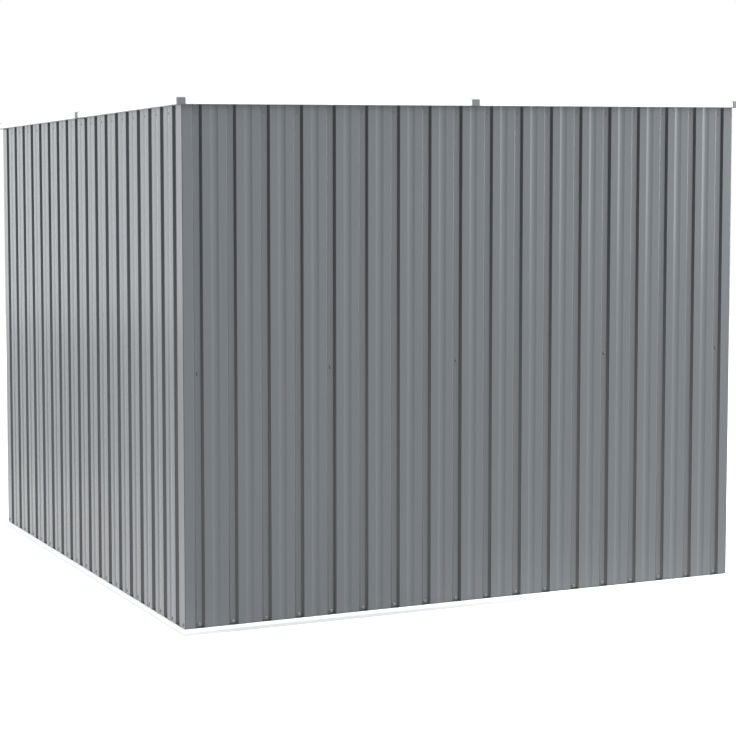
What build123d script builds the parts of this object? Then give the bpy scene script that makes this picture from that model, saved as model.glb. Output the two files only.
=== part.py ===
from build123d import *
import math
import os

# Lean-to storage shed in ribbed sheet steel. Millimetres, +Z up.
# Origin: centre of the plan at ground level.
# -Y is the tall back wall, +Y the low front wall with the doorway,
# -X and +X the side walls, whose tops fall from back to front.

# ---- driving dimensions -------------------------------------------------
LEN_X = 2255.0          # back and front walls, over the sheet pans
LEN_Y = 2291.0          # side walls, over the sheet pans
PITCH = 126.0           # groove spacing
N_GROOVE = 18           # grooves on each whole wall
GROOVE_OPEN = 36.0      # groove width at the pan
GROOVE_FLOOR = 21.0     # groove width at its floor
GROOVE_DEEP = 8.5       # groove depth
FLUTE_OPEN = 30.0       # shallow curved flute along the middle of each pan
FLUTE_DEEP = 2.0
T_SHEET = 1.0           # wall, roof and door sheet
T_RAIL = 1.5            # frame sections
T_TRIM = 1.2            # roof edge trim
T_CAP = 2.0             # caps on the roof edge trim
BEND = 1.2              # inner radius of the folds

Z_LEDGE = 22.0          # top of the base rail
SHEET_Z = 23.5          # lower edge of the wall sheets, just clear of the rail
BACK_TOP = 1847.0       # top of the back wall's sheets
FALL = 79.3             # drop of the wall tops from back to front

OVERHANG = 19.0         # roof edge beyond the pans
TRIM_TALL = 21.0        # height of the trim's face
ROOF_SEAT = 6.5         # underside of the roof sheets above the wall tops
CAP_LONG = 30.0
CAP_SHORT = 12.0

BASE_PROUD = 8.0        # base rail beyond the pans
BASE_IN = 46.0          # inner edge of the base rail's foot
UPSTAND = 40.0          # base rail's upstand behind the sheets
RAIL_AT = GROOVE_DEEP + 2 * T_SHEET     # outer face of the rails behind the pans
POST_LEG = 30.0
GIRT_TALL = 40.0
GIRT_DEEP = 20.0
GIRT_Z = 916.0
TOP_DOWN = 45.0         # top rail's vertical flange below the wall tops
TOP_IN = 50.0           # inner edge of the top rail's flange

ANCHOR_R = 5.0
ANCHOR_IN = 30.0        # anchor holes behind the pans
ANCHOR_S = 900.0        # anchor holes either side of a wall's middle

DOOR_HALF = 620.0
DOOR_TOP = 1640.0
HEAD_TALL = 50.0
JAMB_LEG = 35.0
JAMB_DEEP = 45.0
FRAME_PROUD = 1.5
SHEET_END = 640.0       # sheets end here, inside the jambs
LEAF_GAP = 3.0
LEAF_DEEP = 26.0

HX, HY = LEN_X / 2, LEN_Y / 2
SLOPE = math.degrees(math.atan(FALL / LEN_Y))
TAN = FALL / LEN_Y
COS = math.cos(math.radians(SLOPE))
Z_MID = BACK_TOP - FALL / 2
HV = HY / COS           # half the roof's run, measured along the slope
ROOF_SHIFT = -0.4       # centres the tilted roof edge over the plan

os.makedirs("parts", exist_ok=True)


def wall_top(y):
    return Z_MID - TAN * y


# ---- folded sheet -------------------------------------------------------
def folded(pts, t, bend=BEND):
    """Closed face of one thickness t to the left of the line pts, its corners rounded as folds.
    A point with a third value starts a curve that sags that far to the left, up to the next point."""
    n = len(pts)
    sags = {i: p[2] for i, p in enumerate(pts) if len(p) == 3}
    pts = [p[:2] for p in pts]
    dirs = []
    for a, b in zip(pts, pts[1:]):
        l = math.hypot(b[0] - a[0], b[1] - a[1])
        dirs.append(((b[0] - a[0]) / l, (b[1] - a[1]) / l))
    near, far = [], []

    def corner(p, d0, d1, r, turn):
        half = abs(math.asin(max(-1, min(1, turn)))) if d0[0] * d1[0] + d0[1] * d1[1] >= 0 else \
            math.pi - abs(math.asin(max(-1, min(1, turn))))
        k = r * math.tan(half / 2)
        a = (p[0] - d0[0] * k, p[1] - d0[1] * k)
        b = (p[0] + d1[0] * k, p[1] + d1[1] * k)
        s = 1 if turn > 0 else -1
        c = (a[0] - d0[1] * r * s, a[1] + d0[0] * r * s)
        l = math.hypot(p[0] - c[0], p[1] - c[1])
        m = (c[0] + (p[0] - c[0]) * r / l, c[1] + (p[1] - c[1]) * r / l)
        return a, m, b

    for i in range(n):
        p = pts[i]
        if i == 0 or i == n - 1:
            d = dirs[0] if i == 0 else dirs[-1]
            near.append((p,))
            far.append(((p[0] - d[1] * t, p[1] + d[0] * t),))
            continue
        d0, d1 = dirs[i - 1], dirs[i]
        n0, n1 = (-d0[1], d0[0]), (-d1[1], d1[0])
        if i in sags or i - 1 in sags:
            side, k = (-1, i) if i in sags else (1, i - 1)
            half = math.dist(pts[k], pts[k + 1]) / 2
            r = (half * half + sags[k] ** 2) / (2 * sags[k])
            e = side * (math.sqrt((r + t) ** 2 - (r - sags[k] + t) ** 2) - half)
            near.append((p,))
            far.append(((p[0] + n0[0] * t + d0[0] * e, p[1] + n0[1] * t + d0[1] * e),))
            continue
        q = 1 + n0[0] * n1[0] + n0[1] * n1[1]
        o = (p[0] + t * (n0[0] + n1[0]) / q, p[1] + t * (n0[1] + n1[1]) / q)
        turn = d0[0] * d1[1] - d0[1] * d1[0]
        rn, rf = (bend + t, bend) if turn > 0 else (bend, bend + t)
        near.append(corner(p, d0, d1, rn, turn))
        far.append(corner(o, d0, d1, rf, turn))

    def middle(k, off):
        a, b, d = pts[k], pts[k + 1], dirs[k]
        return (a[0] + b[0]) / 2 - d[1] * off, (a[1] + b[1]) / 2 + d[0] * off

    def run(line, curves):
        out = []
        for k in range(len(line) - 1):
            a, b = line[k][-1], line[k + 1][0]
            out.append(ThreePointArc(a, curves[k], b) if k in curves else Line(a, b))
            if len(line[k + 1]) == 3:
                out.append(ThreePointArc(*line[k + 1]))
        return out

    back = [tuple(reversed(c)) for c in reversed(far)]
    out_curves = {k: middle(k, sag) for k, sag in sags.items()}
    in_curves = {n - 2 - k: middle(k, sag + t) for k, sag in sags.items()}
    edges = run(near, out_curves) + [Line(near[-1][-1], back[0][0])]
    edges += run(back, in_curves) + [Line(back[-1][-1], near[0][0])]
    return Face(Wire([e for g in edges for e in g.edges()]))


class Side:
    """One wall: s runs along it, d runs inwards from the pans, z is up."""

    def __init__(self, inward, along, reach, half):
        self.inward, self.along = Vector(*inward), Vector(*along)
        self.reach, self.half = reach, half

    def plan(self, pts, t, z0, z1, bend=BEND):
        o = self.inward * -self.reach + Vector(0, 0, z0)
        f = Plane(origin=o, x_dir=self.along, z_dir=(0, 0, 1)) * folded(pts, t, bend)
        return extrude(f, amount=z1 - z0, dir=(0, 0, 1))

    def rail(self, pts, t, s0, s1, bend=BEND):
        o = self.inward * -self.reach + self.along * s0
        f = Plane(origin=o, x_dir=self.inward, z_dir=self.along) * folded(pts, t, bend)
        return extrude(f, amount=s1 - s0, dir=self.along)

    def block(self, s0, s1, d0, d1, z0, z1):
        c = self.inward * ((d0 + d1) / 2 - self.reach) + self.along * ((s0 + s1) / 2)
        sx = abs(self.along.X) * (s1 - s0) + abs(self.inward.X) * (d1 - d0)
        sy = abs(self.along.Y) * (s1 - s0) + abs(self.inward.Y) * (d1 - d0)
        return Pos(c.X, c.Y, (z0 + z1) / 2) * Box(sx, sy, z1 - z0)

    def mitre(self, out, gap=0.1, deep=120.0):
        """Prism with 45 degree ends that trims a run so that it meets its neighbours."""
        e = self.half + out - gap
        pts = [(-e, -out), (e, -out), (e - deep, deep - out), (-e + deep, deep - out)]
        o = self.inward * -self.reach + Vector(0, 0, -500)
        f = Plane(origin=o, x_dir=self.along, z_dir=(0, 0, 1)) * Face(Wire(Polyline(*pts, close=True).edges()))
        return extrude(f, amount=3000, dir=(0, 0, 1))

    def at(self, s, d, z):
        return self.inward * (d - self.reach) + self.along * s + Vector(0, 0, z)


BACK = Side((0, 1, 0), (1, 0, 0), HY, HX)
FRONT = Side((0, -1, 0), (-1, 0, 0), HY, HX)
LEFT = Side((1, 0, 0), (0, -1, 0), HX, HY)
RIGHT = Side((-1, 0, 0), (0, 1, 0), HX, HY)

# The same four sides in the roof's own plane, before it is tilted.
R_BACK = Side((0, 1, 0), (1, 0, 0), HV, HX)
R_FRONT = Side((0, -1, 0), (-1, 0, 0), HV, HX)
R_LEFT = Side((1, 0, 0), (0, -1, 0), HX, HV)
R_RIGHT = Side((-1, 0, 0), (0, 1, 0), HX, HV)

FLAT_TILT = Pos(0, 0, Z_MID) * Rot(-SLOPE, 0, 0)
TILT = FLAT_TILT * Pos(0, ROOF_SHIFT, 0)
ABOVE = FLAT_TILT * Pos(0, 0, 300) * Box(4000, 4000, 600)


def save(name, *solids):
    flat = [s for g in solids for s in g.solids()]
    shape = flat[0] if len(flat) == 1 else Compound(children=flat)
    export_step(shape, f"parts/{name}.step")


def grooves(half):
    edge = half - (N_GROOVE - 1) * PITCH / 2
    return [-half + edge + PITCH * k for k in range(N_GROOVE)]


def ribbed(s0, s1, centres, level=0.0, lap_start=False, lap_end=False, fold_start=0.0, fold_end=0.0):
    """Outer line of a ribbed sheet: pans at level, grooves inwards, a shallow flute between grooves.
    A lapped edge ends on a groove floor, and the next sheet starts behind it."""
    a, b = GROOVE_OPEN / 2, GROOVE_FLOOR / 2
    pts = []
    if fold_start:
        pts.append((s0, level + fold_start))
    if not lap_start:
        pts.append((s0, level))
    for i, g in enumerate(centres):
        first, last = i == 0, i == len(centres) - 1
        if first and lap_start:
            d = level + GROOVE_DEEP + T_SHEET
            pts += [(g - 8, d), (g + b, d), (g + a, level)]
        elif last and lap_end:
            d = level + GROOVE_DEEP
            pts += [(g - a, level), (g - b, d), (g + 6, d)]
        else:
            d = level + GROOVE_DEEP
            pts += [(g - a, level), (g - b, d), (g + b, d), (g + a, level)]
        if not last:
            c = (g + centres[i + 1]) / 2
            pts += [(c - FLUTE_OPEN / 2, level, FLUTE_DEEP), (c + FLUTE_OPEN / 2, level)]
    if not lap_end:
        pts.append((s1, level))
    if fold_end:
        pts.append((s1, level + fold_end))
    return pts


LAPS = [(0, 4), (4, 8), (8, 13), (13, 17)]


# ---- base rails ---------------------------------------------------------
base_line = [(RAIL_AT, Z_LEDGE + UPSTAND), (RAIL_AT, Z_LEDGE), (0, Z_LEDGE),
             (-BASE_PROUD, Z_LEDGE - BASE_PROUD), (-BASE_PROUD, 0), (BASE_IN, 0)]
for name, w in (("back", BACK), ("front", FRONT), ("left", LEFT), ("right", RIGHT)):
    rail = w.rail(base_line, T_RAIL, -w.half - 20, w.half + 20)
    rail = rail & w.mitre(BASE_PROUD)
    for s in (-ANCHOR_S, ANCHOR_S):
        p = w.at(s, ANCHOR_IN, 0)
        rail -= Pos(p.X, p.Y, 0) * Cylinder(ANCHOR_R, 12)
    if w is FRONT:
        # the upstand stops at the doorway, and the rail is its sill
        e = DOOR_HALF + JAMB_LEG + 1
        rail -= w.block(-e, e, RAIL_AT - 2.5, RAIL_AT + 10, Z_LEDGE + 0.01, Z_LEDGE + UPSTAND + 5)
    save(f"base_rail_{name}", rail)

# ---- corner posts: angles that stand on the rails' feet ------------------
post_at = RAIL_AT + T_RAIL
posts = []
for sx in (-1, 1):
    for sy in (-1, 1):
        x0, y0 = HX - post_at, HY - post_at
        a = Pos(sx * (x0 - POST_LEG / 2), sy * (y0 - T_RAIL / 2), 1000) * Box(POST_LEG, T_RAIL, 2000)
        b = Pos(sx * (x0 - T_RAIL / 2), sy * (y0 - POST_LEG / 2), 1000) * Box(T_RAIL, POST_LEG, 2000)
        p = (a + b) - (Pos(0, 0, 2.0) * ABOVE) - Pos(0, 0, T_RAIL / 2) * Box(4000, 4000, T_RAIL)
        posts.append(p)
save("corner_posts", *posts)

# ---- mid-height rails ---------------------------------------------------
girt = [(RAIL_AT + GIRT_DEEP, GIRT_Z + GIRT_TALL / 2), (RAIL_AT, GIRT_Z + GIRT_TALL / 2),
        (RAIL_AT, GIRT_Z - GIRT_TALL / 2), (RAIL_AT + GIRT_DEEP, GIRT_Z - GIRT_TALL / 2)]
end = post_at + POST_LEG + 0.5
inner = DOOR_HALF + JAMB_LEG + 1
save("mid_rails", *[w.rail(girt, T_RAIL, s0, s1) for w, s0, s1 in (
    (BACK, -HX + end, HX - end), (LEFT, -HY + end, HY - end), (RIGHT, -HY + end, HY - end),
    (FRONT, -HX + end, -inner), (FRONT, inner, HX - end))])

# ---- top rails ----------------------------------------------------------
rise = ROOF_SEAT / COS
for name, w, sy in (("back", BACK, -1), ("front", FRONT, 1)):
    def seat(d):
        return wall_top(sy * (HY - d)) + rise
    line = [(TOP_IN, seat(TOP_IN)), (RAIL_AT, seat(RAIL_AT)), (RAIL_AT, wall_top(sy * HY) - TOP_DOWN)]
    save(f"top_rail_{name}", w.rail(line, T_RAIL, -HX + RAIL_AT, HX - RAIL_AT))
side_line = [(TOP_IN, ROOF_SEAT), (RAIL_AT, ROOF_SEAT), (RAIL_AT, -TOP_DOWN)]
run = HV - TOP_IN - 1.0
for name, w in (("left", R_LEFT), ("right", R_RIGHT)):
    save(f"top_rail_{name}", FLAT_TILT * w.rail(side_line, T_RAIL, -run, run))

# ---- roof beams: channels under the sheets, seated below the side rails --
beam = [(30, ROOF_SEAT), (0, ROOF_SEAT), (0, ROOF_SEAT - 45), (30, ROOF_SEAT - 45)]
beams = []
for v in (-390.0, 390.0):
    reach = HX - post_at - 2.0
    f = Plane(origin=(-reach, v, 0), x_dir=(0, 1, 0), z_dir=(1, 0, 0)) * folded(beam, T_RAIL)
    b = extrude(f, amount=2 * reach, dir=(1, 0, 0))
    for s in (-1, 1):
        b -= Pos(s * (HX - TOP_IN + 0.2 + 50), v + 15, ROOF_SEAT + 8.5) * Box(100 + 0.8, 60, 20)
    beams.append(FLAT_TILT * b)
save("roof_beams", *beams)

# ---- wall sheets --------------------------------------------------------
FOLD = 12.0
gx, gy = grooves(HX), grooves(HY)
for k, (i, j) in enumerate(LAPS):
    first, last = k == 0, k == len(LAPS) - 1
    pts = ribbed(-HX + T_SHEET, HX - T_SHEET, gx[i:j + 1], 0.0, not first, not last,
                 FOLD if first else 0, FOLD if last else 0)
    save(f"back_wall_sheet_{k + 1}", BACK.plan(pts, T_SHEET, SHEET_Z, BACK_TOP + 10) - ABOVE)
    pts = ribbed(-HY, HY, gy[i:j + 1], 0.0, not first, not last)
    save(f"left_wall_sheet_{k + 1}", LEFT.plan(pts, T_SHEET, SHEET_Z, BACK_TOP + 10) - ABOVE)
    save(f"right_wall_sheet_{k + 1}", RIGHT.plan(pts, T_SHEET, SHEET_Z, BACK_TOP + 10) - ABOVE)

# The front wall is split beside and over the doorway.
pts = ribbed(-HX + T_SHEET, -SHEET_END, gx[0:4], fold_start=FOLD)
save("front_wall_sheet_right", FRONT.plan(pts, T_SHEET, SHEET_Z, BACK_TOP) - ABOVE)
pts = ribbed(SHEET_END, HX - T_SHEET, gx[14:18], fold_end=FOLD)
save("front_wall_sheet_left", FRONT.plan(pts, T_SHEET, SHEET_Z, BACK_TOP) - ABOVE)
pts = ribbed(-SHEET_END + 0.2, SHEET_END - 0.2, gx[4:14])
save("front_wall_sheet_over_door", FRONT.plan(pts, T_SHEET, DOOR_TOP + 35, BACK_TOP) - ABOVE)

# ---- doorway ------------------------------------------------------------
o, i_ = -FRAME_PROUD, JAMB_DEEP
a, b = DOOR_HALF, DOOR_HALF + JAMB_LEG
j1 = FRONT.plan([(b, i_), (a, i_), (a, o), (b, o)], T_RAIL, Z_LEDGE + 0.02, DOOR_TOP)
j2 = FRONT.plan([(-b, o), (-a, o), (-a, i_), (-b, i_)], T_RAIL, Z_LEDGE + 0.02, DOOR_TOP)
save("door_jambs", j1, j2)
head = FRONT.rail([(o, DOOR_TOP + HEAD_TALL), (o, DOOR_TOP), (i_, DOOR_TOP), (i_, DOOR_TOP + HEAD_TALL)],
                  T_RAIL, -b, b)
for s in (-1, 1):
    lo, hi = sorted((s * (SHEET_END - 0.4), s * (b + 5)))
    head -= FRONT.block(lo, hi, 0.0, i_ + 5, DOOR_TOP - 5, DOOR_TOP + HEAD_TALL + 5)
save("door_head", head)

leaf_lo, leaf_hi = 2.0, DOOR_HALF - LEAF_GAP
z0, z1 = Z_LEDGE + 5, DOOR_TOP - 6
pts = ribbed(leaf_lo, leaf_hi, gx[9:14], o, fold_start=LEAF_DEEP, fold_end=LEAF_DEEP)
save("door_leaf_left", FRONT.plan(pts, T_SHEET, z0, z1))
pts = ribbed(-leaf_hi, -leaf_lo, gx[4:9], o, fold_start=LEAF_DEEP, fold_end=LEAF_DEEP)
save("door_leaf_right", FRONT.plan(pts, T_SHEET, z0, z1))

f0, f1 = o + GROOVE_DEEP + T_SHEET, o + LEAF_DEEP
braces = []
for s0, s1 in ((leaf_lo + T_SHEET + 0.2, leaf_hi - T_SHEET - 0.2),
               (-leaf_hi + T_SHEET + 0.2, -leaf_lo - T_SHEET - 0.2)):
    for z in (z0 + 2, (z0 + z1) / 2 - 20, z1 - 42):
        line = [(f1, z + 40), (f0, z + 40), (f0, z), (f1, z)]
        braces.append(FRONT.rail(line, T_RAIL, s0, s1))
save("door_braces", *braces)

pulls = []
for s in (-28.0, 12.0):
    line = [(o, 985), (o - 18, 985), (o - 18, 865), (o, 865)]
    pulls.append(FRONT.rail(line, 4.0, s, s + 16, bend=4.0))
save("door_handles", *pulls)

hinges = []
for s in (-1, 1):
    for z in (220, 830, 1440):
        mid = s * (DOOR_HALF - LEAF_GAP / 2)
        c = FRONT.at(mid, o - 4.5, z)
        barrel = Pos(c.X, c.Y, z) * Cylinder(4.5, 70)
        lo, hi = sorted((mid - s * 1.5, mid - s * 21))
        p1 = FRONT.block(lo, hi, o - 1.5, o, z - 35, z + 35)
        lo, hi = sorted((mid + s * 1.5, mid + s * 21))
        p2 = FRONT.block(lo, hi, o - 1.5, o, z - 35, z + 35)
        hinges.append(barrel + p1 + p2)
save("door_hinges", *hinges)

# ---- roof ---------------------------------------------------------------
rv = HV + OVERHANG - T_TRIM - 1.5
rx = HX + OVERHANG - T_TRIM - 1.5
for k, (i, j) in enumerate(LAPS):
    first, last = k == 0, k == len(LAPS) - 1
    pts = ribbed(-rx, rx, gx[i:j + 1], 0.0, not first, not last)
    # seen from above: ribs stand up, so depth runs upwards from the sheet's underside
    f = Plane(origin=(0, -rv, ROOF_SEAT), x_dir=(1, 0, 0), z_dir=(0, -1, 0)) * folded(pts, T_SHEET)
    save(f"roof_sheet_{k + 1}", TILT * extrude(f, amount=2 * rv, dir=(0, 1, 0)))

trim = [(20, TRIM_TALL), (-OVERHANG, TRIM_TALL), (-OVERHANG, 0), (RAIL_AT - 0.5, 0)]
for name, w in (("back", R_BACK), ("front", R_FRONT), ("left", R_LEFT), ("right", R_RIGHT)):
    t = w.rail(trim, T_TRIM, -w.half - OVERHANG - 5, w.half + OVERHANG + 5) & w.mitre(OVERHANG)
    t -= w.block(-0.5, 0.5, -OVERHANG - 5, 60, -30, 60)
    save(f"roof_trim_{name}", TILT * t)

cap = [(2, TRIM_TALL + T_CAP), (-OVERHANG - T_CAP, TRIM_TALL + T_CAP),
       (-OVERHANG - T_CAP, -T_CAP), (-3, -T_CAP)]
joints = []
for w in (R_BACK, R_FRONT, R_LEFT, R_RIGHT):
    joints.append(TILT * w.rail(cap, T_CAP, -CAP_LONG / 2, CAP_LONG / 2, bend=0.8))
save("joint_caps", *joints)

corners = []
for wx, end_x, wy, end_y, short in ((R_BACK, -1, R_LEFT, 1, CAP_SHORT), (R_BACK, 1, R_RIGHT, -1, CAP_SHORT),
                                    (R_FRONT, 1, R_LEFT, -1, CAP_LONG), (R_FRONT, -1, R_RIGHT, 1, CAP_LONG)):
    out = OVERHANG + T_CAP
    legs = []
    for w, e, length in ((wx, end_x, CAP_LONG), (wy, end_y, short)):
        far = w.half + out
        s0, s1 = sorted((e * (far + 5), e * (far - length)))
        legs.append(w.rail(cap, T_CAP, s0, s1, bend=0.8) & w.mitre(out, gap=0.0))
    corners.append(TILT * (legs[0] + legs[1]))
save("corner_caps", *corners)

print("slope", round(SLOPE, 3), "back top", BACK_TOP, "front top", round(wall_top(HY), 1))
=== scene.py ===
import bpy
import math
from mathutils import Matrix, Vector


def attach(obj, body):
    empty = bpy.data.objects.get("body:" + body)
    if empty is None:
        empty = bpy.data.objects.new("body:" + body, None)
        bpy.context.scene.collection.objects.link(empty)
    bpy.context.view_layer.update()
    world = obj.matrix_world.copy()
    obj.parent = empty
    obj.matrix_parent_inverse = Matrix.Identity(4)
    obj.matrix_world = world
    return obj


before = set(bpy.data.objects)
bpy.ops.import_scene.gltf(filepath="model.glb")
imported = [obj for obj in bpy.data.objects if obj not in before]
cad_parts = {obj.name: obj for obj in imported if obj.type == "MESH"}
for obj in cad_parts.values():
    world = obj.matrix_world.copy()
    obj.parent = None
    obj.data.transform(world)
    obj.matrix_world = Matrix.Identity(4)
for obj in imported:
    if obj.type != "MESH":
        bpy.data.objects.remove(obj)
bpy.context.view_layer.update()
scene = bpy.context.scene

# ---- sizes shared with the construction, in metres ------------------------
HX, HY = 1.1275, 1.1455            # walls, over the pans
PITCH = 0.126                      # groove spacing
FIRST = -1.071                     # first groove's centre on every wall
GROOVE_DEEP = 0.0085
FLUTE_DEEP = 0.002
Z_LEDGE = 0.022
BACK_TOP, FALL = 1.847, 0.0793
TAN = FALL / (2 * HY)
SLOPE = math.atan(TAN)
Z_MID = BACK_TOP - FALL / 2
HV = HY / math.cos(SLOPE)
ROOF_SHIFT = -0.0004
ROOF_TOP = 0.0075                  # pans of the roof sheets above the wall-top plane
ROOF_FLUTE = 0.0095
DOOR_TOP = 1.640


def wall_top(y):
    return Z_MID - TAN * y


# ---- node helpers ---------------------------------------------------------
def node(tree, kind, inputs=None, **props):
    n = tree.nodes.new(kind)
    for k, v in props.items():
        setattr(n, k, v)
    for k, v in (inputs or {}).items():
        s = n.inputs[k]
        if isinstance(v, bpy.types.NodeSocket):
            tree.links.new(v, s)
        else:
            s.default_value = v
    return n


def math_node(tree, op, a, b=None, c=None, clamp=False):
    n = tree.nodes.new("ShaderNodeMath")
    n.operation, n.use_clamp = op, clamp
    for i, v in enumerate((a, b, c)):
        if v is None:
            continue
        if isinstance(v, bpy.types.NodeSocket):
            tree.links.new(v, n.inputs[i])
        else:
            n.inputs[i].default_value = v
    return n.outputs[0]


def ramp(tree, value, lo, hi, to_lo=0.0, to_hi=1.0, smooth=True):
    n = node(tree, "ShaderNodeMapRange", interpolation_type="SMOOTHSTEP" if smooth else "LINEAR")
    tree.links.new(value, n.inputs["Value"])
    for k, v in (("From Min", lo), ("From Max", hi), ("To Min", to_lo), ("To Max", to_hi)):
        n.inputs[k].default_value = v
    return n.outputs["Result"]


def noise(tree, coords, scale, detail=2.0, rough=0.5, stretch=None, offset=(0, 0, 0)):
    if stretch or any(offset):
        m = node(tree, "ShaderNodeMapping")
        m.inputs["Scale"].default_value = stretch or (1, 1, 1)
        m.inputs["Location"].default_value = offset
        tree.links.new(coords, m.inputs["Vector"])
        coords = m.outputs["Vector"]
    n = node(tree, "ShaderNodeTexNoise", {"Vector": coords, "Scale": scale, "Detail": detail, "Roughness": rough})
    return n.outputs["Fac"]


def mix(tree, factor, a, b, blend="MIX"):
    n = tree.nodes.new("ShaderNodeMix")
    n.data_type, n.blend_type = "RGBA", blend
    n.clamp_factor = True
    for i, v in ((0, factor), (6, a), (7, b)):
        s = n.inputs[i]
        if isinstance(v, bpy.types.NodeSocket):
            tree.links.new(v, s)
        else:
            s.default_value = (*v, 1.0) if isinstance(v, tuple) and len(v) == 3 else v
    return n.outputs[2]


def grey(tree, value):
    """A grey colour from a number."""
    n = tree.nodes.new("ShaderNodeCombineColor")
    for i in range(3):
        tree.links.new(value, n.inputs[i])
    return n.outputs[0]


def start(name):
    m = bpy.data.materials.new(name)
    m.use_nodes = True
    t = m.node_tree
    t.nodes.clear()
    out = t.nodes.new("ShaderNodeOutputMaterial")
    bsdf = t.nodes.new("ShaderNodeBsdfPrincipled")
    t.links.new(bsdf.outputs[0], out.inputs[0])
    coords = t.nodes.new("ShaderNodeTexCoord").outputs["Object"]
    return m, t, bsdf, coords


def bump(tree, height, strength, distance, under=None):
    n = node(tree, "ShaderNodeBump", {"Height": height, "Strength": strength, "Distance": distance})
    if under is not None:
        tree.links.new(under, n.inputs["Normal"])
    return n.outputs["Normal"]


def variation(tree, parts):
    """1 + the sum of (noise - 0.5) * amount, as a grey to multiply a colour with."""
    total = None
    for value, amount in parts:
        v = math_node(tree, "MULTIPLY_ADD", value, amount, -0.5 * amount)
        total = v if total is None else math_node(tree, "ADD", total, v)
    return grey(tree, math_node(tree, "ADD", total, 1.0))


def edge_mask(tree, radius, lo=0.03, hi=0.25):
    """1 on the object's own edges, from how far the rounded normal leaves the flat one."""
    b = node(tree, "ShaderNodeBevel", {"Radius": radius}, samples=4)
    g = tree.nodes.new("ShaderNodeNewGeometry")
    d = node(tree, "ShaderNodeVectorMath", {0: b.outputs[0], 1: g.outputs["Normal"]}, operation="DOT_PRODUCT")
    return ramp(tree, math_node(tree, "SUBTRACT", 1.0, d.outputs["Value"]), lo, hi)


# ---- materials -------------------------------------------------------------
GREY = (0.0826, 0.0902, 0.0962)
GREY_WORN = (0.15, 0.157, 0.162)
DUST = (0.17, 0.168, 0.163)


def coated_sheet(name, axis, ground=True):
    """Satin coat on ribbed sheet. axis is the one that the grooves repeat along."""
    m, t, bsdf, co = start(name)
    sep = node(t, "ShaderNodeSeparateXYZ", {0: co})
    along, z = sep.outputs[axis], sep.outputs[2]
    # distance to the nearest groove's centre line
    turn = math_node(t, "FRACT", math_node(t, "MULTIPLY_ADD", along, 1 / PITCH, -FIRST / PITCH + 0.5 + 40))
    f = math_node(t, "MULTIPLY", math_node(t, "ABSOLUTE", math_node(t, "SUBTRACT", turn, 0.5)), PITCH)
    fold = None
    for at in (0.0105, 0.018, 0.048):
        line = ramp(t, math_node(t, "ABSOLUTE", math_node(t, "SUBTRACT", f, at)), 0.0003, 0.0016, 1.0, 0.0)
        fold = line if fold is None else math_node(t, "MAXIMUM", fold, line)
    tall = (7, 7, 0.45) if ground else ((0.6, 7, 7) if axis == 1 else (7, 0.6, 7))
    rub = ramp(t, noise(t, co, 1.0, 4.0, 0.6, stretch=(60, 60, 9) if ground else (60, 9, 60)), 0.5, 0.68)
    wear = math_node(t, "MULTIPLY", fold, rub)
    rim = ramp(t, math_node(t, "ABSOLUTE", math_node(t, "SUBTRACT", f, 0.018)), 0.0008, 0.0024, 1.0, 0.0)
    broad = noise(t, co, 1.3, 3.0, 0.55)
    streak = noise(t, co, 4.0, 3.0, 0.5, stretch=tall)
    speck = noise(t, co, 420.0, 2.0, 0.6)
    col = mix(t, 1.0, GREY, variation(t, ((broad, 0.07), (streak, 0.05), (speck, 0.05))), "MULTIPLY")
    # painted shade: the rim of each groove is darkened against the lamp's highlight on the bend
    col = mix(t, math_node(t, "MULTIPLY", rim, 0.35), col, (0.045, 0.049, 0.052))
    col = mix(t, math_node(t, "MULTIPLY", wear, 0.07), col, GREY_WORN)
    if ground:
        # splashed dust thins out over the lowest hand's width
        low = ramp(t, z, 0.020, 0.15, 1.0, 0.0)
        film = math_node(t, "MULTIPLY", low, ramp(t, noise(t, co, 22.0, 5.0, 0.65), 0.40, 0.75))
        # painted shade: the sides of the grooves are darkened, most near the foot, more on the front and back walls
        # than on the side walls
        flank = ramp(t, math_node(t, "ABSOLUTE", math_node(t, "SUBTRACT", f, 0.01425)), 0.0036, 0.0056, 1.0, 0.0)
        groove = math_node(t, "MULTIPLY", flank, ramp(t, z, 0.03, 0.55, *((0.45, 0.04) if axis == 1 else (0.66, 0.34))))
        col = mix(t, groove, col, (0.030, 0.032, 0.034))
        # painted shadow: the coat is darker in a band just under the edge trim
        under = math_node(t, "MULTIPLY_ADD", sep.outputs[1], -TAN, math_node(t, "SUBTRACT", Z_MID, z))
        col = mix(t, ramp(t, under, 0.004, 0.024, 0.32, 0.0), col, (0.035, 0.038, 0.041))
    else:
        film = ramp(t, noise(t, co, 3.0, 5.0, 0.6), 0.35, 0.90)
    col = mix(t, math_node(t, "MULTIPLY", film, 0.07), col, DUST)
    t.links.new(col, bsdf.inputs["Base Color"])
    r = math_node(t, "MULTIPLY_ADD", noise(t, co, 9.0, 4.0, 0.6), 0.10, ROUGH - 0.05)
    r = math_node(t, "ADD", r, math_node(t, "MULTIPLY", film, 0.05))
    # the coat is matt where it was stretched over the rim of a groove
    r = math_node(t, "ADD", r, math_node(t, "MULTIPLY", rim, 0.38))
    t.links.new(math_node(t, "ADD", r, math_node(t, "MULTIPLY", wear, 0.02)), bsdf.inputs["Roughness"])
    bsdf.inputs["IOR"].default_value = SHEET_IOR
    n = bump(t, noise(t, co, 1.0, 1.0, 0.4, stretch=(2.4, 2.4, 1.1)), 0.35, 0.0012)
    n = bump(t, noise(t, co, 620.0, 2.0, 0.5), 0.10, 0.0004, n)
    t.links.new(n, bsdf.inputs["Normal"])
    return m


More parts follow.
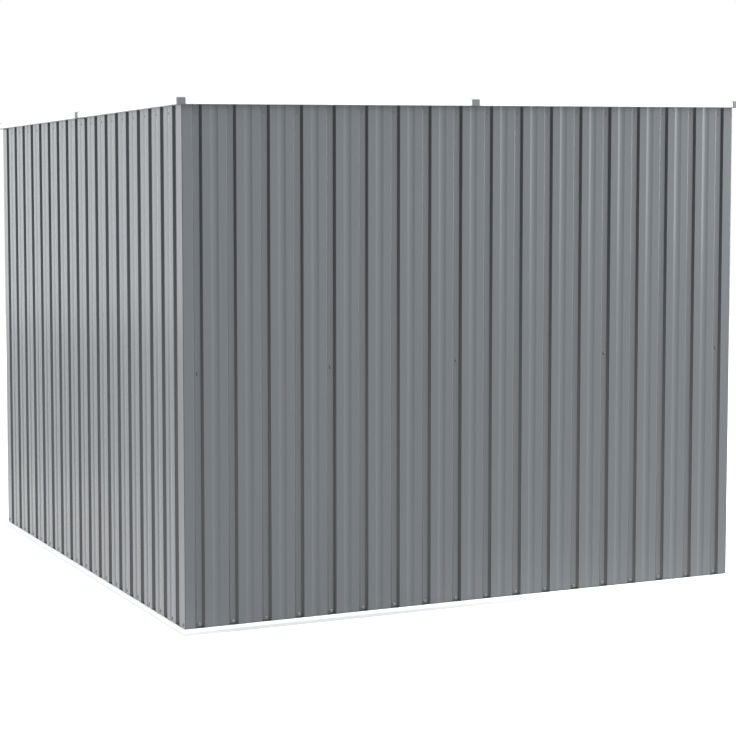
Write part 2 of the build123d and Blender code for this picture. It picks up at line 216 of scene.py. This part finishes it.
def white_coat(name, base, dirt_and_shade):
    m, t, bsdf, co = start(name)
    broad = noise(t, co, 2.2, 3.0, 0.5)
    speck = noise(t, co, 350.0, 2.0, 0.6)
    col = mix(t, 1.0, base, variation(t, ((broad, 0.03), (speck, 0.02))), "MULTIPLY")
    edge = edge_mask(t, 0.0012)
    chip = math_node(t, "MULTIPLY", edge, ramp(t, noise(t, co, 90.0, 4.0, 0.65), 0.58, 0.66))
    col = mix(t, math_node(t, "MULTIPLY", chip, 0.55), col, (0.50, 0.50, 0.49))
    if dirt_and_shade:
        z = node(t, "ShaderNodeSeparateXYZ", {0: co}).outputs[2]
        film = math_node(t, "MULTIPLY", ramp(t, z, 0.0, 0.012, 1.0, 0.0), ramp(t, noise(t, co, 30.0, 5.0, 0.65), 0.35, 0.75))
        # painted shade: the lower half of the upright face is darker
        col = mix(t, ramp(t, z, 0.0090, 0.0160, 0.84, 0.0), col, (0.44, 0.445, 0.45))
    else:
        film = ramp(t, noise(t, co, 14.0, 5.0, 0.65), 0.55, 0.85)
    col = mix(t, math_node(t, "MULTIPLY", film, dirt_and_shade or 0.05), col, (0.52, 0.50, 0.46))
    t.links.new(col, bsdf.inputs["Base Color"])
    t.links.new(math_node(t, "MULTIPLY_ADD", noise(t, co, 12.0, 4.0, 0.6), 0.12, 0.32), bsdf.inputs["Roughness"])
    t.links.new(bump(t, noise(t, co, 620.0, 2.0, 0.5), 0.10, 0.0004), bsdf.inputs["Normal"])
    return m


def moulded(name, base, rough=0.42):
    m, t, bsdf, co = start(name)
    speck = noise(t, co, 500.0, 3.0, 0.6)
    broad = noise(t, co, 30.0, 3.0, 0.5)
    col = mix(t, 1.0, base, variation(t, ((broad, 0.06), (speck, 0.06))), "MULTIPLY")
    edge = edge_mask(t, 0.0010)
    col = mix(t, math_node(t, "MULTIPLY", math_node(t, "MULTIPLY", edge, broad), 0.35), col, tuple(min(1, c * 1.6) for c in base))
    t.links.new(col, bsdf.inputs["Base Color"])
    t.links.new(math_node(t, "MULTIPLY_ADD", speck, 0.15, rough), bsdf.inputs["Roughness"])
    t.links.new(bump(t, noise(t, co, 900.0, 2.0, 0.5), 0.25, 0.0003), bsdf.inputs["Normal"])
    return m


def zinc(name, base, lift=0.0):
    m, t, bsdf, co = start(name)
    spangle = node(t, "ShaderNodeTexVoronoi", {"Vector": co, "Scale": 260.0}, feature="F1").outputs["Distance"]
    brush = noise(t, co, 40.0, 3.0, 0.6, stretch=(9, 9, 0.8))
    col = mix(t, 1.0, base, variation(t, ((spangle, 0.10), (brush, 0.14))), "MULTIPLY")
    edge = edge_mask(t, 0.0008)
    col = mix(t, math_node(t, "MULTIPLY", edge, 0.45), col, tuple(min(1, c * 1.35) for c in base))
    t.links.new(col, bsdf.inputs["Base Color"])
    bsdf.inputs["Metallic"].default_value = 1.0
    t.links.new(math_node(t, "MULTIPLY_ADD", brush, 0.22, 0.28 + lift), bsdf.inputs["Roughness"])
    t.links.new(bump(t, brush, 0.12, 0.0002), bsdf.inputs["Normal"])
    return m


def rubber(name, base=(0.022, 0.022, 0.023)):
    m, t, bsdf, co = start(name)
    speck = noise(t, co, 900.0, 3.0, 0.7)
    broad = noise(t, co, 40.0, 3.0, 0.6)
    col = mix(t, 1.0, base, variation(t, ((speck, 0.5), (broad, 0.3))), "MULTIPLY")
    t.links.new(col, bsdf.inputs["Base Color"])
    t.links.new(math_node(t, "MULTIPLY_ADD", speck, 0.2, 0.70), bsdf.inputs["Roughness"])
    t.links.new(bump(t, speck, 0.5, 0.0004), bsdf.inputs["Normal"])
    return m


ROUGH = 0.22
SHEET_IOR = 1.50

mats = {
    "sheet_x": coated_sheet("coated_sheet_x", 0),
    "sheet_y": coated_sheet("coated_sheet_y", 1),
    "roof": coated_sheet("coated_sheet_roof", 0, ground=False),
    "base": white_coat("white_base", (0.66, 0.665, 0.67), 0.10),
    "trim": white_coat("white_trim", (0.83, 0.835, 0.84), 0.0),
    "frame": white_coat("white_frame", (0.78, 0.785, 0.79), 0.0),
    "cap": moulded("cap_grey", (0.098, 0.102, 0.105)),
    "hardware": zinc("zinc_hardware", (0.34, 0.345, 0.35), 0.10),
    "screw": zinc("zinc_screw", (0.40, 0.41, 0.415), 0.18),
    "painted": moulded("painted_screw", (0.088, 0.096, 0.102), 0.18),
    "foot": moulded("foot_screw", (0.150, 0.155, 0.158), 0.45),
    "rubber": rubber("black_rubber"),
}

for name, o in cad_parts.items():
    if name.startswith(("back_wall", "front_wall", "door_leaf")):
        m = mats["sheet_x"]
    elif name.startswith(("left_wall", "right_wall")):
        m = mats["sheet_y"]
    elif name.startswith("roof_sheet"):
        m = mats["roof"]
    elif name.startswith("base_rail"):
        m = mats["base"]
    elif name.startswith("roof_trim"):
        m = mats["trim"]
    elif name in ("joint_caps", "corner_caps"):
        m = mats["cap"]
    elif name in ("door_hinges", "door_handles"):
        m = mats["hardware"]
    elif name in ("door_jambs", "door_head"):
        m = mats["trim"]
    else:
        m = mats["frame"]
    for s in o.material_slots:
        s.material = m
    if not o.material_slots:
        o.data.materials.append(m)


# ---- small pieces from arrays ----------------------------------------------
class Build:
    """Collects closed rings of points into one mesh."""

    def __init__(self):
        self.v, self.f, self.mi = [], [], []

    def loft(self, rings, place, mat=0, smooth=True):
        base, n = len(self.v), len(rings[0])
        for r in rings:
            self.v += [place @ Vector(p) for p in r]
        for k in range(len(rings) - 1):
            for i in range(n):
                j = (i + 1) % n
                a, b = base + k * n, base + (k + 1) * n
                self.f.append((a + i, a + j, b + j, b + i))
                self.mi.append(mat)
        self.f.append(tuple(base + i for i in reversed(range(n))))
        self.mi.append(mat)
        self.f.append(tuple(base + (len(rings) - 1) * n + i for i in range(n)))
        self.mi.append(mat)

    def make(self, name, materials, smooth_angle=35):
        me = bpy.data.meshes.new(name)
        me.from_pydata([tuple(p) for p in self.v], [], self.f)
        for m in materials:
            me.materials.append(m)
        me.polygons.foreach_set("material_index", self.mi)
        me.polygons.foreach_set("use_smooth", [True] * len(me.polygons))
        me.update()
        me.set_sharp_from_angle(angle=math.radians(smooth_angle))
        o = bpy.data.objects.new(name, me)
        scene.collection.objects.link(o)
        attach(o, "root")
        return o


def circle(r, z, n=16):
    return [(r * math.cos(2 * math.pi * i / n), r * math.sin(2 * math.pi * i / n), z) for i in range(n)]


def hexagon(across, z, corner=0.10):
    """Hexagon with its corners eased, 12 points."""
    r = across / math.sqrt(3)
    pts = [(r * math.cos(math.radians(60 * i)), r * math.sin(math.radians(60 * i))) for i in range(6)]
    out = []
    for i in range(6):
        p, q, s = pts[i - 1], pts[i], pts[(i + 1) % 6]
        out.append((q[0] + (p[0] - q[0]) * corner, q[1] + (p[1] - q[1]) * corner, z))
        out.append((q[0] + (s[0] - q[0]) * corner, q[1] + (s[1] - q[1]) * corner, z))
    return out


MM = 0.001


def hex_screw(b, place, head, washer, ring=5.6):
    """Hexagon washer head on a rubber-backed washer of radius ring, in millimetres."""
    if washer is not None:
        b.loft([circle((ring - 0.3) * MM, -0.1 * MM), circle(ring * MM, 0.4 * MM), circle((ring - 0.1) * MM, 0.9 * MM),
                circle((ring - 0.6) * MM, 1.2 * MM)], place, washer)
    b.loft([circle(5.4 * MM, 0.9 * MM), circle(5.7 * MM, 1.3 * MM), circle(5.6 * MM, 1.9 * MM),
            circle(5.1 * MM, 2.25 * MM), circle(4.4 * MM, 2.4 * MM)], place, head)
    b.loft([hexagon(8.0 * MM, 2.2 * MM), hexagon(8.0 * MM, 5.6 * MM), hexagon(7.6 * MM, 6.1 * MM),
            hexagon(6.4 * MM, 6.4 * MM)], place, head)


def pan_screw(b, place, head, r=4.2 * MM, low=1.0):
    """Domed head with a cross recess; low flattens it."""
    h = r * low
    b.loft([circle(r, -0.1 * MM, 20), circle(r * 1.02, 0.25 * h, 20), circle(r * 0.93, 0.45 * h, 20),
            circle(r * 0.70, 0.62 * h, 20), circle(r * 0.34, 0.70 * h, 20), circle(r * 0.30, 0.48 * h, 20),
            circle(r * 0.10, 0.40 * h, 20)], place, head)


def seal(b, place, mat, ring):
    """Flat sealing washer under a head."""
    b.loft([circle((ring - 0.3) * MM, -0.1 * MM), circle(ring * MM, 0.2 * MM), circle((ring - 0.1) * MM, 0.5 * MM),
            circle((ring - 0.6) * MM, 0.7 * MM)], place, mat)


def facing(inward, along):
    """Matrix whose +Z leaves the wall, at the wall's own s, d, z."""
    n, a = -Vector(inward), Vector(along)
    up = n.cross(a)
    return Matrix((a, up, n)).transposed()


SIDES = {
    "back": ((0, 1, 0), (1, 0, 0), HY),
    "front": ((0, -1, 0), (-1, 0, 0), HY),
    "left": ((1, 0, 0), (0, -1, 0), HX),
    "right": ((-1, 0, 0), (0, 1, 0), HX),
}


def on_wall(side, s, d, z, spin=0.0):
    inward, along, reach = SIDES[side]
    p = Vector(inward) * (d - reach) + Vector(along) * s + Vector((0, 0, z))
    return Matrix.Translation(p) @ facing(inward, along).to_4x4() @ Matrix.Rotation(spin, 4, "Z")


def spin(k):
    """A different turn for each screw, the same on every run."""
    return math.radians((k * 137.508) % 60)


def on_roof(x, v, w, turn=0.0):
    v += ROOF_SHIFT
    y = v * math.cos(SLOPE) + w * math.sin(SLOPE)
    z = Z_MID - v * math.sin(SLOPE) + w * math.cos(SLOPE)
    return Matrix.Translation((x, y, z)) @ Matrix.Rotation(-SLOPE, 4, "X") @ Matrix.Rotation(turn, 4, "Z")


g = [FIRST + PITCH * k for k in range(18)]
mid = [x + PITCH / 2 for x in g[:-1]]
count = 0


def wall_screws(side, foot, top, middle):
    """foot, top and middle are lists of (s, d, z)."""
    global count
    b = Build()
    for s, d, z in foot:
        pan_screw(b, on_wall(side, s, d, z, spin(count)), 0, 6.0 * MM, 0.60)
        count += 1
    for s, d, z in top:
        pan_screw(b, on_wall(side, s, d, z, spin(count)), 1, 3.6 * MM, 0.50)
        count += 1
    for s, d, z in middle:
        seal(b, on_wall(side, s, d, z), 2, 6.2)
        pan_screw(b, on_wall(side, s, d, z, spin(count)), 1, 5.2 * MM, 0.70)
        count += 1
    return b.make(f"{side}_wall_screws", [mats["foot"], mats["painted"], mats["rubber"]])


FOOT_Z, MID_Z = 0.0345, 0.916
wall_screws("back",
            [(s, GROOVE_DEEP, FOOT_Z) for s in g],
            [(s, GROOVE_DEEP, BACK_TOP - 0.026) for s in g],
            [(g[k], GROOVE_DEEP, MID_Z) for k in (0, 4, 8, 13, 17)])
for side, sign in (("left", -1), ("right", 1)):
    edge = HY - 0.017
    wall_screws(side,
                [(s, FLUTE_DEEP, FOOT_Z) for s in mid] + [(s, 0.0, FOOT_Z) for s in (-edge, edge)],
                [(s, FLUTE_DEEP, wall_top(sign * s) - 0.026) for s in mid],
                [])
low_top = wall_top(HY)
beside = g[0:4] + g[14:18]
wall_screws("front",
            [(s, GROOVE_DEEP, FOOT_Z) for s in beside],
            [(s, GROOVE_DEEP, low_top - 0.026) for s in g],
            [(g[k], GROOVE_DEEP, MID_Z) for k in (0, 3, 14, 17)])

b = Build()
for s in g[4:14]:
    for z in (0.049, 0.8305, 1.612):
        hex_screw(b, on_wall("front", s, GROOVE_DEEP - 0.0015, z, spin(count)), 1, 2)
        count += 1
for s in (-0.638, 0.638):
    for z in (0.11, 0.42, 0.73, 1.04, 1.35, 1.60):
        pan_screw(b, on_wall("front", s, -0.0015, z, spin(count)), 0)
        count += 1
for k in (-4, -2, 0, 2, 4):
    pan_screw(b, on_wall("front", k * PITCH, -0.0015, DOOR_TOP + 0.040, spin(count)), 0)
    count += 1
for sign in (-1, 1):
    for z in (0.220, 0.830, 1.440):
        for off in (-0.013, 0.013):
            for dz in (-0.023, 0.0, 0.023):
                pan_screw(b, on_wall("front", sign * 0.6185 + off, -0.003, z + dz, spin(count)), 0, 2.6 * MM)
                count += 1
b.make("door_screws", [mats["screw"], mats["painted"], mats["rubber"]])

b = Build()
for v in (-(HV - 0.031), -0.375, 0.405, HV - 0.031):
    for x in mid:
        hex_screw(b, on_roof(x, v, ROOF_FLUTE, spin(count)), 0, 1)
        count += 1
b.make("roof_screws", [mats["screw"], mats["rubber"]])

# Black foam closure strips fill the foot of each groove, standing in for the shade of the gap there (painted shade).
b = Build()
for side in SIDES:
    for s in (g if side != "front" else beside):
        rings = []
        for d, e in ((1.1, 0.6), (1.7, 0.0), (7.9, 0.0), (8.45, 0.5)):
            w = (18.0 - 7.5 * d / 8.5 - 0.35 - e) * MM
            zz = (3.15 - e) * MM
            rings.append([(s - w, d * MM, Z_LEDGE + 0.00005), (s + w, d * MM, Z_LEDGE + 0.00005),
                          (s + w, d * MM, Z_LEDGE + zz), (s - w, d * MM, Z_LEDGE + zz)])
        inward, along, reach = SIDES[side]
        # rings hold (s, d, z), so the matrix turns that into the world
        place = Matrix((
            (along[0], inward[0], 0, -inward[0] * reach),
            (along[1], inward[1], 0, -inward[1] * reach),
            (0, 0, 1, 0),
            (0, 0, 0, 1)))
        b.loft(rings, place, 0)
b.make("groove_foot_shade_strips", [mats["rubber"]], 20)

# ---- floor -------------------------------------------------------------------
FLOOR_GLOW, FLOOR_ALBEDO, FLOOR_R = 1.03, 0.12, 12.0
STRIP_LEFT, STRIP_BACK = 0.43, 0.60
me = bpy.data.meshes.new("floor")
rim = [(FLOOR_R * math.cos(2 * math.pi * i / 96), FLOOR_R * math.sin(2 * math.pi * i / 96), -0.0004) for i in range(96)]
me.from_pydata(rim, [], [tuple(range(96))])
floor = bpy.data.objects.new("floor", me)
scene.collection.objects.link(floor)
m, t, bsdf, co = start("studio_floor")
bsdf.inputs["Base Color"].default_value = (FLOOR_ALBEDO,) * 3 + (1,)
bsdf.inputs["Roughness"].default_value = 0.9
bsdf.inputs["Specular IOR Level"].default_value = 0.0
bsdf.inputs["Emission Color"].default_value = (1, 1, 1, 1)
sep = node(t, "ShaderNodeSeparateXYZ", {0: co})
X, Y = sep.outputs[0], sep.outputs[1]


def strip(value, steps):
    """Adds one soft-edged strip of light: steps are (axis, from, to, start, end)."""
    for axis, lo, hi, a, b in steps:
        r = ramp(t, axis, lo, hi, a, b)
        value = r if value is None else math_node(t, "MULTIPLY", value, r)
    return value


# painted light: the floor glows evenly, with pools of light in strips beside the left wall and the right of the back
# wall
by_left = strip(None, ((X, -2.6, -1.25, 0, 1), (X, -1.1, -0.9, 1, 0), (Y, -3.0, -1.2, 0, 1), (Y, 1.5, 4.0, 1, 0)))
by_back = strip(None, ((Y, -2.4, -1.2, 0, 1), (X, -0.4, 0.4, 0, 1), (X, 2.0, 4.0, 1, 0)))
glow = math_node(t, "MULTIPLY_ADD", by_left, STRIP_LEFT, FLOOR_GLOW)
t.links.new(math_node(t, "MULTIPLY_ADD", by_back, STRIP_BACK, glow), bsdf.inputs["Emission Strength"])
# from below, the floor lets the light through
under = node(t, "ShaderNodeMixShader", {0: t.nodes.new("ShaderNodeNewGeometry").outputs["Backfacing"],
                                        1: bsdf.outputs[0], 2: t.nodes.new("ShaderNodeBsdfTransparent").outputs[0]})
for n in t.nodes:
    if n.type == "OUTPUT_MATERIAL":
        t.links.new(under.outputs[0], n.inputs[0])
me.materials.append(m)

# ---- light: a white studio ---------------------------------------------------
# Two soft lamps stand at the right. The room's own light is a few wide panels.
AMBIENT = 0.03
PANELS = (                  # azimuth from +Y towards +X, elevation, outer and inner edge, strength
    (345, -4, 0.93, 0.995, 1.87),
    (313, -6, 0.93, 0.995, 3.60),
    (150, 10, 0.75, 0.98, 1.76),
    (120, 38, 0.75, 0.98, 1.35),
    (120, 50, 0.75, 0.98, 5.30),
    (300, 38, 0.75, 0.98, 4.00),
    (330, 38, 0.75, 0.98, 0.90),
    (45, 38, 0.75, 0.98, 1.20),
)

world = bpy.data.worlds.new("studio")
scene.world = world
world.use_nodes = True
t = world.node_tree
t.nodes.clear()
ray = t.nodes.new("ShaderNodeTexCoord").outputs["Generated"]


def panel(azimuth, elevation, outer, inner, strength):
    a, e = math.radians(azimuth), math.radians(elevation)
    direction = (math.sin(a) * math.cos(e), math.cos(a) * math.cos(e), math.sin(e))
    d = node(t, "ShaderNodeVectorMath", {0: ray, 1: direction}, operation="DOT_PRODUCT").outputs["Value"]
    return ramp(t, d, outer, inner, 0.0, strength)


total = None
for p in PANELS:
    v = panel(*p)
    total = math_node(t, "ADD", v, AMBIENT if total is None else total)
studio = node(t, "ShaderNodeBackground", {"Color": (0.975, 1.0, 1.025, 1), "Strength": total})
sweep = node(t, "ShaderNodeBackground", {"Color": (1, 1, 1, 1), "Strength": 1.0})
pick = node(t, "ShaderNodeMixShader", {0: t.nodes.new("ShaderNodeLightPath").outputs["Is Camera Ray"],
                                       1: studio.outputs[0], 2: sweep.outputs[0]})
out = node(t, "ShaderNodeOutputWorld", {0: pick.outputs[0]})

for k, (place, watts) in enumerate((((4.6, -1.9, 2.0), 268.0), ((4.2, -3.6, 2.0), 30.0))):
    lamp = bpy.data.lights.new(f"soft_lamp_{k + 1}", "AREA")
    lamp.shape, lamp.size, lamp.energy = "SQUARE", 2.0, watts
    o = bpy.data.objects.new(f"soft_lamp_{k + 1}", lamp)
    scene.collection.objects.link(o)
    o.location = place
    o.rotation_euler = (Vector((0.0, -0.6, 0.9)) - o.location).to_track_quat("-Z", "Y").to_euler()
    o.visible_camera = False

# ---- camera ---------------------------------------------------------------------
data = bpy.data.cameras.new("camera")
cam = bpy.data.objects.new("camera", data)
scene.collection.objects.link(cam)
data.sensor_width = 36.0
data.lens = 103.4678
data.shift_y = -0.08
data.clip_end = 400.0
cam.location = (-3.6097, -7.9947, 1.7444)
cam.rotation_euler = (math.radians(90 - 4.7295), 0.0, math.radians(-24.9459))
scene.camera = cam

scene.view_settings.view_transform = "Standard"
scene.view_settings.look = "None"
